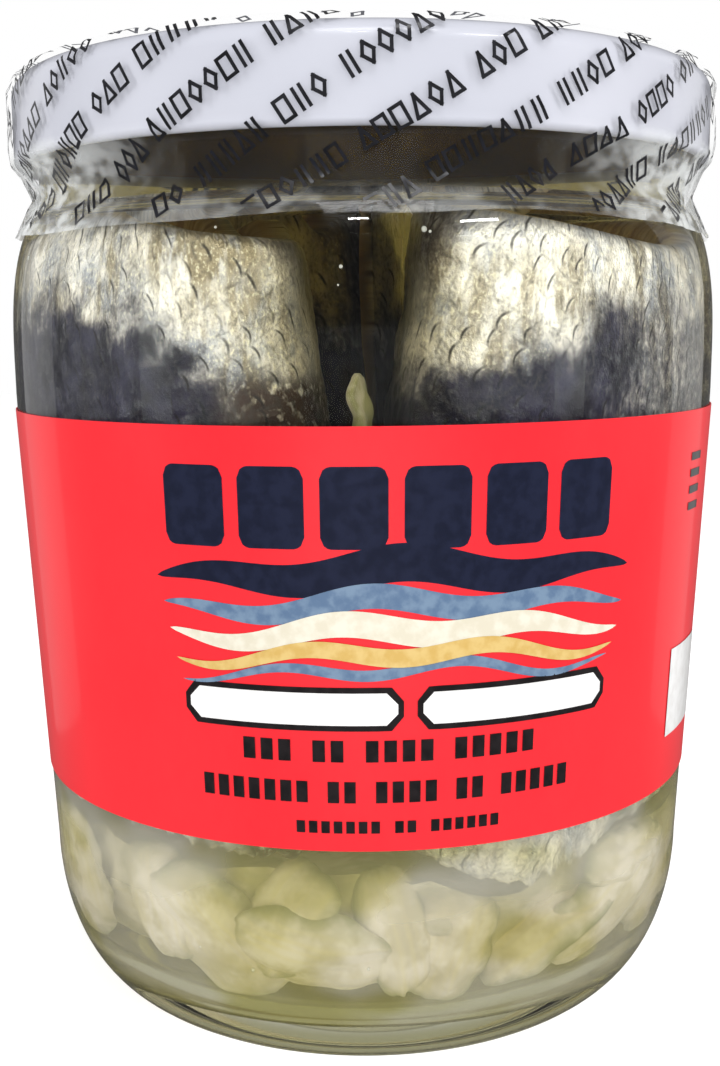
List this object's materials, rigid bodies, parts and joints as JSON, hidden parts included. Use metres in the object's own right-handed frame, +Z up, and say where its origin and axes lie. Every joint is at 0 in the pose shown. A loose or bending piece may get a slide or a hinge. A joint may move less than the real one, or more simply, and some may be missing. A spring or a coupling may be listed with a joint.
{
  "type": "jar of rollmops",
  "caption": "Sealed clear glass jar of rolled herring fillets standing on sliced onion in brine, with a white twist-off lid, a clear shrink band and a wrap-round label.",
  "frame": {"origin": "centre of the jar's foot, on the surface that it stands on", "axes": "+Z up through the lid, -Y the front of the label, +X to the right seen from the front"},
  "size_m": [0.0874, 0.0874, 0.1104],
  "materials": {
    "jar_glass": "clear smooth glass with a slight green tint",
    "lid_enamel": "glossy white enamel on pressed steel",
    "clear_film": "clear crinkled shrink film with dark diagonal dashes",
    "label_paper": null,
    "herring": "wet scaled skin, slate blue back and silver gold belly",
    "onion": "wet translucent pickled onion, pale cream green"
  },
  "bodies": {
    "root": {"glass_jar": "jar_glass", "lid": "lid_enamel", "shrink_band": "clear_film", "label": "label_paper", "rollmop_front_left": "herring", "rollmop_front_right": "herring", "rollmop_back_left": "herring", "rollmop_back_right": "herring", "onion_bed": "onion", "onion_sliver": "onion"}
  },
  "joints": []
}
